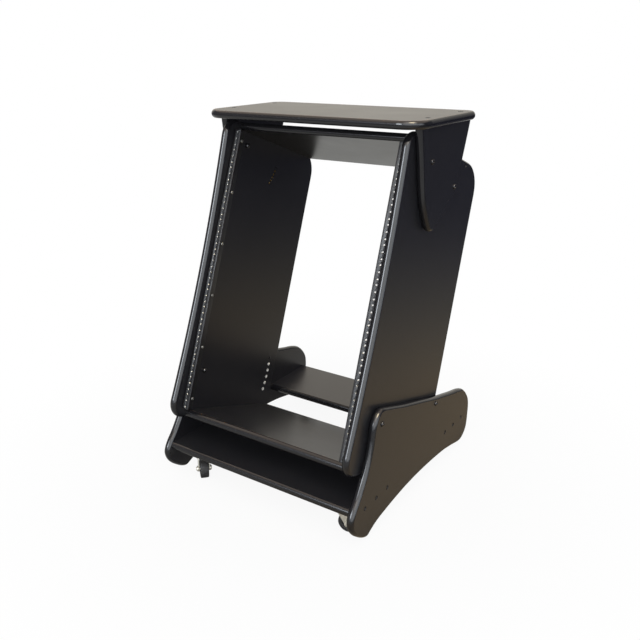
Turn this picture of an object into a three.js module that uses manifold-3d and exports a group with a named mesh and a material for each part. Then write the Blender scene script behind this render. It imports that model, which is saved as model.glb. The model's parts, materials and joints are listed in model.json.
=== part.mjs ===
// A rolling rack for studio gear: a cabinet of laminated board with a bay for sixteen rack units. It leans
// back on two side feet, can be set upright in steps, and carries a shelf that is set level in the same way.
// Millimetres, +Z up, front faces -Y. The part stands on its castors at z = 0, centred on the origin.
import * as THREE from 'three';
import { mergeGeometries, mergeVertices } from 'three/addons/utils/BufferGeometryUtils.js';
import Module from 'manifold-3d';

// Board, edging and fits
const board_thickness = 19;
const nose_depth = 5.5;
const fit_gap = 0.3;
const running_gap = 0.5;
const cut_overrun = 3;

// Rack bay
const unit_height = 44.45;
const unit_count = 16;
const bay_width = 486;
const rail_end_gap = 4.5;
const side_lip = 2.5;
const rack_depth = 407;
const lean_angle = THREE.MathUtils.degToRad(20.2);
const front_corner_radius = 41;
const front_hollow = 12;
const lower_rear_corner_radius = 36;
const upper_rear_corner_radius = 68;

// Top and bottom panels of the bay, from the front and rear edges of the sides
const panel_setback = 46.5;
const top_panel_rear_setback = 26.5;
const bottom_panel_rear_setback = 12.5;

// Mounting rails
const rail_setback = 29.5;
const rail_face_width = 20;
const rail_depth = 38;
const rail_thickness = 2;
const hole_inset = 10.45;
const rail_hole_radius = 2.6;
const hole_from_unit_edge = 6.35;
const hole_pitch = 15.875;

// Tilt of the rack on its feet, seen from the rack's lower front corner
const tilt_pivot_from_front = 87;
const tilt_pivot_from_bottom = 122;
const notch_count = 6;
const tilt_notch_pitch = THREE.MathUtils.degToRad(3.7);
const tilt_notch_rear_margin = 38;
const tilt_lock_angle = THREE.MathUtils.degToRad(-13.3);

// Tilt of the shelf on the rack
const shelf_pivot_rise = 587;
const shelf_notch_pitch = THREE.MathUtils.degToRad(3.85);
const shelf_notch_radius = 144;
const shelf_lock_angle = THREE.MathUtils.degToRad(-31.2);

// Feet and the two boards between them: toe, drop and head from the tilt pivot, tail from its lock bolt
const foot_toe = 124;
const foot_tail = 213.5;
const foot_drop = 254;
const foot_head = 34;
const board_rise = 71;
const front_board_setback = 12;
const front_board_depth = 180;
const rear_board_setback = 15;
const rear_board_depth = 172;

// Where the two bolts stand in a foot, and its outline, as shares of its length and height from the
// toe's lower corner
const tilt_pivot_share = 0.1984;
const tilt_lock_share = 0.6375;
const tilt_lock_rise_share = 0.6567;
const foot_outline_shares = [
  [0.000, 0.230], [0.018, 0.317], [0.045, 0.389], [0.085, 0.518], [0.117, 0.653], [0.139, 0.800],
  [0.155, 0.924], [0.195, 1.000], [0.247, 0.976], [0.362, 0.892], [0.528, 0.785], [0.657, 0.701],
  [0.830, 0.611], [0.935, 0.549], [0.997, 0.410], [1.000, 0.250], [0.981, 0.098], [0.924, 0.028],
  [0.852, 0.049], [0.744, 0.088], [0.550, 0.114], [0.381, 0.108], [0.226, 0.071], [0.165, 0.048],
  [0.128, 0.020], [0.100, 0.000], [0.048, 0.064], [0.012, 0.142],
];

// Shelf and the wings that carry it, from the shelf's pivot
const shelf_overhang = 18.5;
const shelf_depth = 310;
const shelf_front_corner_radius = 56;
const shelf_rear_corner_radius = 32;
const shelf_rise = 77.5;
const shelf_reach = 101;
const wing_width = 263;
const wing_height = 239;
const wing_setback = 56;

// Free edge of a wing from its upper front corner round to its upper rear corner, as shares of its
// width and height
const wing_edge_shares = [
  [0.000, 1.000], [0.042, 0.673], [0.085, 0.343], [0.132, 0.197], [0.200, 0.044], [0.217, 0.019],
  [0.245, 0.003], [0.273, 0.001], [0.300, 0.013], [0.354, 0.050], [0.525, 0.172], [0.684, 0.286],
  [0.734, 0.338], [0.772, 0.420], [0.844, 0.600], [0.928, 0.810], [1.000, 1.000],
];

// Bolts
const bolt_radius = 4;
const bolt_cap_radius = 6.5;
const bolt_cap_height = 3.5;
const bolt_crown_radius = 4.5;
const thread_reach = 5;
const nut_length = 8;

// Castors
const castor_height = 78;
const castor_inset = 51.5;
const castor_front_setback = 58;
const castor_rear_setback = 48;
const castor_trail = 18;
const castor_plate_length = 60;
const castor_plate_width = 50;
const castor_plate_thickness = 2.5;
const race_radius = 17;
const race_height = 4.5;
const kingpin_radius = 4;
const kingpin_head_radius = 7;
const kingpin_head_height = 2.5;
const fork_thickness = 2.5;
const fork_crown_radius = 18;
const fork_side_gap = 1.5;
const fork_top_half_width = 12;
const fork_end_radius = 7.5;
const wheel_radius = 25;
const wheel_width = 21;
const hub_radius = 17;
const hub_boss_radius = 8;
const hub_recess = 5;
const tyre_shoulder = 3;
const axle_radius = 4;
const axle_head_radius = 7;
const axle_head_height = 5;

// Directions in which the four castors trail
const front_left_trail_angle = THREE.MathUtils.degToRad(-42);
const front_right_trail_angle = THREE.MathUtils.degToRad(12);
const rear_left_trail_angle = THREE.MathUtils.degToRad(75);
const rear_right_trail_angle = THREE.MathUtils.degToRad(110);

// Facets
const nose_steps = 4;
const corner_steps = 6;
const outline_steps = 2;
const hollow_steps = 14;
const round_sides = 12;
const wheel_sides = 20;
const rail_hole_sides = 6;

// Places worked out from the sizes, in the rack's own frame: x across, y back and z up from the tilt pivot
const rail_length = unit_height * unit_count;
const rack_front = -tilt_pivot_from_front;
const rack_rear = rack_front + rack_depth;
const rack_bottom = -tilt_pivot_from_bottom;
const bottom_panel_top = rack_bottom + side_lip + board_thickness;
const rail_bottom = bottom_panel_top + rail_end_gap;
const top_panel_bottom = rail_bottom + rail_length + rail_end_gap;
const rack_top = top_panel_bottom + board_thickness + side_lip;
const panel_front = rack_front + panel_setback;
const side_inner_x = bay_width / 2;
const foot_inner_x = side_inner_x + board_thickness + running_gap;
const foot_outer_x = foot_inner_x + board_thickness;
const bolt_hole_radius = bolt_radius + fit_gap;
const tilt_notch_radius = rack_rear - tilt_notch_rear_margin;
const tilt_lock = polar(tilt_notch_radius, tilt_lock_angle);
const shelf_lock = polar(shelf_notch_radius, shelf_lock_angle);
const foot_front = -foot_toe;
const foot_length = foot_toe + tilt_lock.x + foot_tail;
const foot_height = foot_drop + foot_head;
const foot_bottom = -foot_drop;
const board_bottom = foot_bottom + board_rise;
const front_board_front = foot_front + front_board_setback;
const rear_board_rear = foot_front + foot_length - rear_board_setback;
const wing_front = -wing_setback;
const wing_bottom = shelf_rise - wing_height;
const board_half = board_thickness / 2;
const nose_angle = 2 * Math.atan(nose_depth / board_half);

const sides = [
  { name: 'left', sign: -1 },
  { name: 'right', sign: 1 },
];

// Finishes
const laminate = { color: 0x231f1e, roughness: 0.45, metalness: 0 };
const edging_black = { color: 0x161516, roughness: 0.28, metalness: 0 };
const rail_black = { color: 0x1d1d1f, roughness: 0.4, metalness: 0.6 };
const bolt_black = { color: 0x19191a, roughness: 0.35, metalness: 0.5 };
const zinc = { color: 0xb9b9b4, roughness: 0.35, metalness: 1 };
const tyre_black = { color: 0x202021, roughness: 0.7, metalness: 0 };
const hub_black = { color: 0x2b2b2c, roughness: 0.5, metalness: 0 };

const wasm = await Module();
wasm.setup();

// Shapes drawn flat as y and z are turned to stand across x
const standing = new THREE.Matrix4().makeBasis(
  new THREE.Vector3(0, 1, 0),
  new THREE.Vector3(0, 0, 1),
  new THREE.Vector3(1, 0, 0),
);

function point(x, y) {
  return new THREE.Vector2(x, y);
}

function polar(radius, angle) {
  return point(radius * Math.cos(angle), radius * Math.sin(angle));
}

function named(name, geometry, finish) {
  const mesh = new THREE.Mesh(geometry, new THREE.MeshStandardMaterial(finish));
  mesh.name = name;
  return mesh;
}

// A closed geometry as a solid that can be joined or cut, and back
function solid(geometry) {
  const bare = geometry.clone();
  bare.deleteAttribute('normal');
  bare.deleteAttribute('uv');
  const merged = mergeVertices(bare);
  const vertProperties = new Float32Array(merged.attributes.position.array);
  const triVerts = new Uint32Array(merged.index.array);
  return new wasm.Manifold(new wasm.Mesh({ numProp: 3, vertProperties, triVerts }));
}

function geometryOf(body) {
  const mesh = body.getMesh();
  const geometry = new THREE.BufferGeometry();
  geometry.setAttribute('position', new THREE.BufferAttribute(new Float32Array(mesh.vertProperties), 3));
  geometry.setIndex(new THREE.BufferAttribute(new Uint32Array(mesh.triVerts), 1));
  geometry.computeVertexNormals();
  return geometry;
}

function join(...geometries) {
  return geometryOf(geometries.map(solid).reduce((sum, body) => sum.add(body)));
}

function cut(geometry, ...tools) {
  return geometryOf(tools.map(solid).reduce((rest, tool) => rest.subtract(tool), solid(geometry)));
}

// A round hole's or boss's outline
function circle(centre, radius, steps) {
  const turn = (2 * Math.PI) / steps;
  return Array.from({ length: steps }, (_, i) => polar(radius, i * turn).add(centre));
}

// A rectangle with a radius of its own at each corner, anticlockwise from its lower left corner
function roundedRectangle(low, high, radii) {
  const corners = [low, point(high.x, low.y), high, point(low.x, high.y)];
  const inward = [point(1, 1), point(-1, 1), point(-1, -1), point(1, -1)];
  const quarter = Math.PI / 2;
  return corners.flatMap((corner, i) => {
    const centre = inward[i].clone().multiplyScalar(radii[i]).add(corner);
    const start = Math.PI + i * quarter;
    return Array.from({ length: corner_steps + 1 }, (_, k) => (
      polar(radii[i], start + (k * quarter) / corner_steps).add(centre)
    ));
  });
}

// The smooth curve through points that are given as shares of a length and a height
function curveThrough(shares, length, height, corner, closed) {
  const places = shares.map(([along, up]) => (
    new THREE.Vector3(corner.x + along * length, corner.y + up * height, 0)
  ));
  const curve = new THREE.CatmullRomCurve3(places, closed, 'centripetal');
  const spans = closed ? places.length : places.length - 1;
  const points = curve.getPoints(spans * outline_steps).map((place) => point(place.x, place.y));
  return closed ? points.slice(0, -1) : points;
}

function outwardNormal(from, to) {
  return point(to.y - from.y, from.x - to.x).normalize();
}

// An anticlockwise path drawn in by a depth. The ends of an open path stay at their own height.
function inset(path, depth, closed) {
  const last = path.length - 1;
  return path.map((place, i) => {
    if (!closed && (i === 0 || i === last)) {
      const normal = i === 0 ? outwardNormal(place, path[1]) : outwardNormal(path[last - 1], place);
      return point(place.x - depth / normal.x, place.y);
    }
    const before = outwardNormal(path.at(i - 1), place);
    const after = outwardNormal(place, path[(i + 1) % path.length]);
    const middle = before.clone().add(after).normalize();
    return place.clone().addScaledVector(middle, -depth / middle.dot(before));
  });
}

// A flat plate with holes, its thickness centred on zero
function plate(outline, holes, thickness) {
  const shape = new THREE.Shape(outline);
  shape.holes = holes.map((hole) => new THREE.Path(hole));
  const geometry = new THREE.ExtrudeGeometry(shape, { depth: thickness, bevelEnabled: false });
  return geometry.translate(0, 0, -thickness / 2);
}

// The rounded section of the edging, an arc as high as the board is thick, as shares of its depth and
// of half its height
function noseShares() {
  return Array.from({ length: nose_steps + 1 }, (_, k) => {
    const angle = nose_angle * ((2 * k) / nose_steps - 1);
    const out = (Math.cos(angle) - Math.cos(nose_angle)) / (1 - Math.cos(nose_angle));
    return point(out, Math.sin(angle) / Math.sin(nose_angle));
  });
}

// Rounded edging along a path, closed as a ring or open with flat ends
function edging(path, closed) {
  const inner = inset(path, nose_depth - fit_gap, closed);
  const section = noseShares();
  const ring = section.length;
  const positions = [];
  path.forEach((outer, i) => {
    section.forEach(({ x: out, y: up }) => {
      const place = inner[i].clone().lerp(outer, out);
      positions.push(place.x, place.y, up * board_half);
    });
  });
  const index = [];
  const spans = closed ? path.length : path.length - 1;
  for (let i = 0; i < spans; i += 1) {
    const here = i * ring;
    const next = ((i + 1) % path.length) * ring;
    for (let k = 0; k < ring; k += 1) {
      const up = (k + 1) % ring;
      index.push(here + k, next + k, next + up, here + k, next + up, here + up);
    }
  }
  if (!closed) {
    const end = spans * ring;
    for (let k = 1; k < nose_steps; k += 1) {
      index.push(0, k, k + 1, end, end + k + 1, end + k);
    }
  }
  const geometry = new THREE.BufferGeometry();
  geometry.setAttribute('position', new THREE.Float32BufferAttribute(positions, 3));
  geometry.setIndex(index);
  geometry.computeVertexNormals();
  return geometry;
}

// A rounded strip across x, its flat back at y = 0 and its nose towards -y or +y
function edgingStrip(length, towards) {
  const depth = towards * (nose_depth - fit_gap);
  const section = noseShares().map(({ x: out, y: up }) => point(out * depth, up * board_half));
  return plate(section, [], length).applyMatrix4(standing);
}

// A board across x with edging along its front and its rear
function edgedBoard(name, length, front, rear, bottom) {
  const group = new THREE.Group();
  const depth = rear - front - 2 * nose_depth;
  const middle = bottom + board_half;
  const panel = named(name, new THREE.BoxGeometry(length, depth, board_thickness), laminate);
  panel.position.set(0, (front + rear) / 2, middle);
  group.add(panel);
  const noses = [
    { end: 'front', at: front + nose_depth - fit_gap, towards: -1 },
    { end: 'rear', at: rear - nose_depth + fit_gap, towards: 1 },
  ];
  noses.forEach(({ end, at, towards }) => {
    const strip = named(`${name}_${end}_edging`, edgingStrip(length, towards), edging_black);
    strip.position.set(0, at, middle);
    group.add(strip);
  });
  return group;
}

// A turned piece along x, with a flat facet downwards
function turned(profile, steps) {
  const outline = profile.map(([along, radius]) => point(radius, along));
  return new THREE.LatheGeometry(outline, steps, Math.PI / steps).rotateZ(-Math.PI / 2);
}

// Bolt with a domed cap, its shank running inward from x = 0
function capBolt(shank_length) {
  return turned([
    [-shank_length, 0],
    [-shank_length, bolt_radius],
    [0, bolt_radius],
    [0, bolt_cap_radius],
    [bolt_cap_height / 2, bolt_cap_radius],
    [bolt_cap_height, bolt_crown_radius],
    [bolt_cap_height, 0],
  ], round_sides);
}

// Domed cap nut over the end of a shank, its open face at x = 0 and its dome inward
function capNut() {
  return turned([
    [-nut_length, 0],
    [-nut_length, bolt_crown_radius],
    [-nut_length / 2, bolt_cap_radius],
    [0, bolt_cap_radius],
    [0, bolt_hole_radius],
    [-thread_reach - fit_gap, bolt_hole_radius],
    [-thread_reach - fit_gap, 0],
  ], round_sides);
}

// A piece made for the right side, set at a height and depth on one side or turned to the other
function placeAcross(mesh, sign, x, place) {
  mesh.rotation.z = sign < 0 ? Math.PI : 0;
  mesh.position.set(sign * x, place.x, place.y);
  return mesh;
}

// Bolt and nut that a foot or wing turns on, fastened through it and the rack side
function pivot(group, name, side, place) {
  const bolt = capBolt(foot_outer_x + fit_gap - side_inner_x + thread_reach);
  const cap_x = foot_outer_x + fit_gap;
  group.add(placeAcross(named(`${name}_bolt_${side.name}`, bolt, bolt_black), side.sign, cap_x, place));
  const nut_x = side_inner_x - fit_gap;
  group.add(placeAcross(named(`${name}_nut_${side.name}`, capNut(), bolt_black), side.sign, nut_x, place));
}

// Lock bolt, screwed through a foot or wing as far as the rack side
function lock(group, name, side, place) {
  const bolt = named(`${name}_bolt_${side.name}`, capBolt(board_thickness + fit_gap), bolt_black);
  group.add(placeAcross(bolt, side.sign, foot_outer_x + fit_gap, place));
}

// The arc of holes in a rack side that a lock bolt is set in
function notchHoles(centre, radius, first_angle, pitch) {
  return Array.from({ length: notch_count }, (_, i) => {
    const place = polar(radius, first_angle - i * pitch).add(centre);
    return circle(place, bolt_hole_radius, round_sides);
  });
}

const tilt_pivot = point(0, 0);
const shelf_pivot = point(0, shelf_pivot_rise);

// The outline of a rack side, whose front edge is hollowed a little between its corners
function sideOutline() {
  const radii = [front_corner_radius, lower_rear_corner_radius, upper_rear_corner_radius, front_corner_radius];
  const path = roundedRectangle(point(rack_front, rack_bottom), point(rack_rear, rack_top), radii);
  const middle = path[0].clone().lerp(path.at(-1), 1 / 2);
  const half = path.at(-1).y - middle.y;
  const front = Array.from({ length: hollow_steps - 1 }, (_, k) => {
    const share = Math.cos((Math.PI * (k + 1)) / hollow_steps);
    return point(rack_front + front_hollow * (1 - share * share), middle.y + half * share);
  });
  return [...path, ...front];
}

function sidePlates(rack) {
  const path = sideOutline();
  const holes = [
    circle(tilt_pivot, bolt_hole_radius, round_sides),
    circle(shelf_pivot, bolt_hole_radius, round_sides),
    ...notchHoles(tilt_pivot, tilt_notch_radius, tilt_lock_angle + lean_angle, tilt_notch_pitch),
    ...notchHoles(shelf_pivot, shelf_notch_radius, shelf_lock_angle + lean_angle, shelf_notch_pitch),
  ];
  sides.forEach(({ name, sign }) => {
    const x = sign * (side_inner_x + board_half);
    const panel = plate(inset(path, nose_depth, true), holes, board_thickness).applyMatrix4(standing);
    const edge = edging(path, true).applyMatrix4(standing);
    rack.add(named(`side_${name}`, panel.translate(x, 0, 0), laminate));
    rack.add(named(`side_${name}_edging`, edge.translate(x, 0, 0), edging_black));
  });
}

// Tapped holes of one rail, three in each rack unit
function railHoles(x, front) {
  const length = rail_thickness + 2 * cut_overrun;
  const holes = [];
  for (let unit = 0; unit < unit_count; unit += 1) {
    for (let row = 0; row < 3; row += 1) {
      const height = rail_bottom + unit * unit_height + hole_from_unit_edge + row * hole_pitch;
      const hole = new THREE.CylinderGeometry(rail_hole_radius, rail_hole_radius, length, rail_hole_sides);
      holes.push(hole.translate(x, front + rail_thickness / 2, height));
    }
  }
  return mergeGeometries(holes);
}

function rails(rack) {
  const front = rack_front + rail_setback;
  const outer = side_inner_x - fit_gap;
  sides.forEach(({ name, sign }) => {
    const section = [
      point(sign * outer, front),
      point(sign * (outer - rail_face_width), front),
      point(sign * (outer - rail_face_width), front + rail_thickness),
      point(sign * (outer - rail_thickness), front + rail_thickness),
      point(sign * (outer - rail_thickness), front + rail_depth),
      point(sign * outer, front + rail_depth),
    ];
    const bar = plate(section, [], rail_length).translate(0, 0, rail_bottom + rail_length / 2);
    const rail = cut(bar, railHoles(sign * (side_inner_x - hole_inset), front));
    rack.add(named(`rail_${name}`, rail, rail_black));
  });
}

// A foot's outline, which keeps its place round the two bolts when the sizes between them change
function footShares() {
  const marks = [
    { share: 0, along: 0, rise: 0 },
    { share: tilt_pivot_share, along: foot_toe, rise: 0 },
    {
      share: tilt_lock_share,
      along: foot_toe + tilt_lock.x,
      rise: foot_drop + tilt_lock.y - tilt_lock_rise_share * foot_height,
    },
    { share: 1, along: foot_length, rise: 0 },
  ];
  return foot_outline_shares.map(([share, up]) => {
    const next = marks.findIndex((mark, i) => i > 0 && share <= mark.share);
    const from = marks[next - 1];
    const to = marks[next];
    const part = (share - from.share) / (to.share - from.share);
    const along = THREE.MathUtils.lerp(from.along, to.along, part);
    const rise = THREE.MathUtils.lerp(from.rise, to.rise, part);
    return [along / foot_length, up + rise / foot_height];
  });
}

function feet(base) {
  const corner = point(foot_front, foot_bottom);
  const path = curveThrough(footShares(), foot_length, foot_height, corner, true).reverse();
  const holes = [tilt_pivot, tilt_lock].map((place) => circle(place, bolt_hole_radius, round_sides));
  sides.forEach(({ name, sign }) => {
    const x = sign * (foot_inner_x + board_half);
    const panel = plate(inset(path, nose_depth, true), holes, board_thickness).applyMatrix4(standing);
    const edge = edging(path, true).applyMatrix4(standing);
    base.add(named(`foot_${name}`, panel.translate(x, 0, 0), laminate));
    base.add(named(`foot_${name}_edging`, edge.translate(x, 0, 0), edging_black));
  });
}

function wings(shelf) {
  const corner = point(wing_front, wing_bottom);
  const reach = wing_height - fit_gap;
  const path = curveThrough(wing_edge_shares, wing_width, reach, corner, false);
  const holes = [tilt_pivot, shelf_lock].map((place) => circle(place, bolt_hole_radius, round_sides));
  sides.forEach(({ name, sign }) => {
    const x = sign * (foot_inner_x + board_half);
    const panel = plate(inset(path, nose_depth, false), holes, board_thickness).applyMatrix4(standing);
    const edge = edging(path, false).applyMatrix4(standing);
    shelf.add(named(`wing_${name}`, panel.translate(x, 0, 0), laminate));
    shelf.add(named(`wing_${name}_edging`, edge.translate(x, 0, 0), edging_black));
  });
}

function shelfBoard(shelf) {
  const reach = foot_outer_x + shelf_overhang;
  const low = point(-reach, -shelf_reach);
  const high = point(reach, shelf_depth - shelf_reach);
  const front = shelf_front_corner_radius;
  const rear = shelf_rear_corner_radius;
  const path = roundedRectangle(low, high, [front, front, rear, rear]);
  const middle = shelf_rise + board_half;
  const panel = plate(inset(path, nose_depth, true), [], board_thickness);
  shelf.add(named('shelf_board', panel.translate(0, 0, middle), laminate));
  shelf.add(named('shelf_board_edging', edging(path, true).translate(0, 0, middle), edging_black));
}

// Castor pieces, from the underside of a board: x along the trail, y along the axle
const crown_top = -castor_plate_thickness - race_height - fit_gap;
const crown_bottom = crown_top - fork_thickness;
const axle_z = wheel_radius - castor_height;
const leg_inner_y = wheel_width / 2 + fork_side_gap;
const leg_outer_y = leg_inner_y + fork_thickness;

function upright(radius, top, bottom, steps) {
  const geometry = new THREE.CylinderGeometry(radius, radius, top - bottom, steps);
  return geometry.rotateX(Math.PI / 2).translate(0, 0, (top + bottom) / 2);
}

function castorPlate() {
  const top = -fit_gap;
  const plate_bottom = top - castor_plate_thickness;
  const flat = new THREE.BoxGeometry(castor_plate_length, castor_plate_width, castor_plate_thickness);
  flat.translate(0, 0, (top + plate_bottom) / 2);
  const race_bottom = crown_top + fit_gap;
  const head_top = crown_bottom - fit_gap;
  const race = upright(race_radius, plate_bottom + castor_plate_thickness / 2, race_bottom, wheel_sides);
  const pin = upright(kingpin_radius, plate_bottom, head_top - kingpin_head_height / 2, round_sides);
  const head = upright(kingpin_head_radius, head_top, head_top - kingpin_head_height, round_sides);
  return join(flat, race, pin, head);
}

// One leg of the fork, drawn along the trail and down, from the crown to a round end about the axle
function forkLeg() {
  const end = point(castor_trail, axle_z);
  const rear_angle = THREE.MathUtils.degToRad(20);
  const front_angle = THREE.MathUtils.degToRad(-150);
  const round = Array.from({ length: corner_steps + 1 }, (_, k) => (
    polar(fork_end_radius, rear_angle + ((front_angle - rear_angle) * k) / corner_steps).add(end)
  ));
  const outline = [point(-fork_top_half_width, crown_top), point(fork_top_half_width, crown_top), ...round];
  return plate(outline, [circle(end, axle_radius + fit_gap, round_sides)], fork_thickness);
}

function castorFork() {
  const crown = upright(fork_crown_radius, crown_top, crown_bottom, wheel_sides);
  const hole = upright(kingpin_radius + fit_gap, crown_top + cut_overrun, crown_bottom - cut_overrun, round_sides);
  const legs = sides.map(({ sign }) => {
    const leg = forkLeg().rotateX(Math.PI / 2);
    return leg.translate(0, (sign * (leg_inner_y + leg_outer_y)) / 2, 0);
  });
  return cut(join(crown, ...legs), hole);
}

function castorHub() {
  const half = wheel_width / 2;
  const bore = axle_radius + fit_gap;
  const rim = hub_radius - hub_recess / 2;
  const profile = [
    [-half, bore], [-half, hub_boss_radius], [hub_recess - half, hub_boss_radius], [hub_recess - half, rim],
    [-half, rim], [-half, hub_radius], [half, hub_radius], [half, rim], [half - hub_recess, rim],
    [half - hub_recess, hub_boss_radius], [half, hub_boss_radius], [half, bore], [-half, bore],
  ];
  return turned(profile, wheel_sides).rotateZ(Math.PI / 2);
}

function castorTyre() {
  const half = wheel_width / 2;
  const inner = hub_radius + fit_gap;
  const profile = [
    [-half, inner], [-half, wheel_radius - tyre_shoulder], [tyre_shoulder - half, wheel_radius],
    [half - tyre_shoulder, wheel_radius], [half, wheel_radius - tyre_shoulder], [half, inner], [-half, inner],
  ];
  return turned(profile, wheel_sides).rotateZ(Math.PI / 2);
}

function castorAxle() {
  const inner = leg_outer_y + fit_gap;
  const outer = inner + axle_head_height;
  return turned([
    [-outer, 0], [-outer, axle_head_radius], [-inner, axle_head_radius], [-inner, axle_radius],
    [inner, axle_radius], [inner, axle_head_radius], [outer, axle_head_radius], [outer, 0],
  ], round_sides).rotateZ(Math.PI / 2);
}

function castors(base) {
  const x = foot_inner_x - castor_inset;
  const front_y = front_board_front + castor_front_setback;
  const rear_y = rear_board_rear - castor_rear_setback;
  const places = [
    { name: 'front_left', x: -x, y: front_y, trail_angle: front_left_trail_angle },
    { name: 'front_right', x, y: front_y, trail_angle: front_right_trail_angle },
    { name: 'rear_left', x: -x, y: rear_y, trail_angle: rear_left_trail_angle },
    { name: 'rear_right', x, y: rear_y, trail_angle: rear_right_trail_angle },
  ];
  places.forEach((place) => {
    const castor = new THREE.Group();
    castor.position.set(place.x, place.y, board_bottom);
    const swivel = new THREE.Group();
    swivel.rotation.z = place.trail_angle;
    castor.add(named(`castor_${place.name}_plate`, castorPlate(), zinc), swivel);
    const wheel = new THREE.Group();
    wheel.position.set(castor_trail, 0, axle_z);
    wheel.add(
      named(`castor_${place.name}_hub`, castorHub(), hub_black),
      named(`castor_${place.name}_tyre`, castorTyre(), tyre_black),
      named(`castor_${place.name}_axle`, castorAxle(), zinc),
    );
    swivel.add(named(`castor_${place.name}_fork`, castorFork(), zinc), wheel);
    base.add(castor);
  });
}

function base() {
  const group = new THREE.Group();
  feet(group);
  const length = 2 * (foot_inner_x - fit_gap);
  const front_rear = front_board_front + front_board_depth;
  const rear_front = rear_board_rear - rear_board_depth;
  group.add(edgedBoard('front_board', length, front_board_front, front_rear, board_bottom));
  group.add(edgedBoard('rear_board', length, rear_front, rear_board_rear, board_bottom));
  sides.forEach((side) => {
    pivot(group, 'tilt_pivot', side, tilt_pivot);
    lock(group, 'tilt_lock', side, tilt_lock);
  });
  castors(group);
  return group;
}

function shelf() {
  const group = new THREE.Group();
  group.position.set(0, shelf_pivot.x, shelf_pivot.y);
  group.rotation.x = lean_angle;
  shelfBoard(group);
  wings(group);
  sides.forEach((side) => {
    pivot(group, 'shelf_pivot', side, tilt_pivot);
    lock(group, 'shelf_lock', side, shelf_lock);
  });
  return group;
}

function rack() {
  const group = new THREE.Group();
  group.rotation.x = -lean_angle;
  sidePlates(group);
  const length = bay_width - 2 * fit_gap;
  const top_rear = rack_rear - top_panel_rear_setback;
  const bottom_rear = rack_rear - bottom_panel_rear_setback;
  group.add(edgedBoard('top_panel', length, panel_front, top_rear, top_panel_bottom));
  group.add(edgedBoard('bottom_panel', length, panel_front, bottom_rear, bottom_panel_top - board_thickness));
  rails(group);
  group.add(shelf());
  return group;
}

// The whole rack, set down on the floor with the middle of its plan at the origin
const rolling_rack = new THREE.Group();
const assembly = new THREE.Group();
assembly.add(base(), rack());
rolling_rack.add(assembly);
rolling_rack.updateMatrixWorld(true);
const extent = new THREE.Box3().setFromObject(assembly, true);
const middle = extent.getCenter(new THREE.Vector3());
assembly.position.set(-middle.x, -middle.y, -extent.min.z);

export default rolling_rack;
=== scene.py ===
"""Looks of a rolling equipment rack: black laminated boards with glossy rounded edging, steel rails,
capped bolts, threaded inserts, screws and castors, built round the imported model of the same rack."""
import json
import math

import bpy
from bpy.props import FloatProperty, FloatVectorProperty, PointerProperty
from mathutils import Matrix, Vector


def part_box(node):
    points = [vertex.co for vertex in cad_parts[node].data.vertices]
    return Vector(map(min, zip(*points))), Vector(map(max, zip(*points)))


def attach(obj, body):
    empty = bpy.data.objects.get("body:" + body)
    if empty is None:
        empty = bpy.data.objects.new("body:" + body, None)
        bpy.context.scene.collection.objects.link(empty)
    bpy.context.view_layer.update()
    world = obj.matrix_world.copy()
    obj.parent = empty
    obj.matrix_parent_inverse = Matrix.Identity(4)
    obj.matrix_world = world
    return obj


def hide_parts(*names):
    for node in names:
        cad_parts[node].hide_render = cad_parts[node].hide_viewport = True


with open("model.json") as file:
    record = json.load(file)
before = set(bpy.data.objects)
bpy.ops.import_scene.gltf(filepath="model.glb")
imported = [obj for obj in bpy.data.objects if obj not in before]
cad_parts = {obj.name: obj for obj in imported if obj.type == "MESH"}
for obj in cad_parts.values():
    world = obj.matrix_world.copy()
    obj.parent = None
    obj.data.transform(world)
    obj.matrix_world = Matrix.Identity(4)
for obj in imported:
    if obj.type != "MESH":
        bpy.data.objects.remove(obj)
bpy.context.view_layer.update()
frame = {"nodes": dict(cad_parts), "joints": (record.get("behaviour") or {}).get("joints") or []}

bl_info = {
    "name": "Rolling equipment rack",
    "version": (1, 0, 0),
    "blender": (4, 5, 0),
    "location": "View3D > Sidebar > Rack",
    "description": "Builds the visible pieces and finishes of a rolling equipment rack",
    "category": "Object",
}

MM = 0.001
SAME_PLACE = 1e-5
LEAST_BEND = 1e-4
QUARTER = math.pi / 2
SIDES = (("left", -1), ("right", 1))
CORNERS = ("front_left", "front_right", "rear_left", "rear_right")
BOARDS = {
    "base": ("foot_left", "foot_right", "front_board", "rear_board"),
    "rack": ("side_left", "side_right", "top_panel", "bottom_panel"),
    "shelf": ("shelf_board", "wing_left", "wing_right"),
}
CROSS_BOARDS = ("front_board", "rear_board", "top_panel", "bottom_panel")


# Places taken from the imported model


def joint(name):
    """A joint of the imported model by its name."""
    return next(j for j in frame["joints"] if j["name"] == name)


def centre(node_name):
    """The middle of a CAD node's box."""
    low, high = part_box(node_name)
    return (low + high) / 2


def rim(node_name, axis):
    """A flat CAD node's outer edge in its own plane, anticlockwise seen from the plus end of the axis."""
    mesh = frame["nodes"][node_name].data
    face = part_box(node_name)[1][axis]
    across, up = ((1, 2), (2, 0), (0, 1))[axis]
    edges = set()
    for polygon in mesh.polygons:
        corners = [mesh.vertices[i].co for i in polygon.vertices]
        if all(abs(corner[axis] - face) < SAME_PLACE for corner in corners):
            keys = [(round(corner[across], 6), round(corner[up], 6)) for corner in corners]
            for edge in zip(keys, keys[1:] + keys[:1]):
                if edge[::-1] in edges:
                    edges.remove(edge[::-1])
                else:
                    edges.add(edge)
    following = dict(edges)
    loops = []
    while following:
        place, loop = next(iter(following)), []
        while place in following:
            loop.append(place)
            place = following.pop(place)
        loops.append(loop)
    widest = max(loops, key=lambda loop: max(p[0] for p in loop) - min(p[0] for p in loop))
    kept = []
    for i, place in enumerate(widest):
        before, here, after = Vector(widest[i - 1]), Vector(place), Vector(widest[(i + 1) % len(widest)])
        bend = (here - before).normalized().cross((after - here).normalized())
        if abs(bend) > LEAST_BEND:
            kept.append(here)
    return kept


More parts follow.
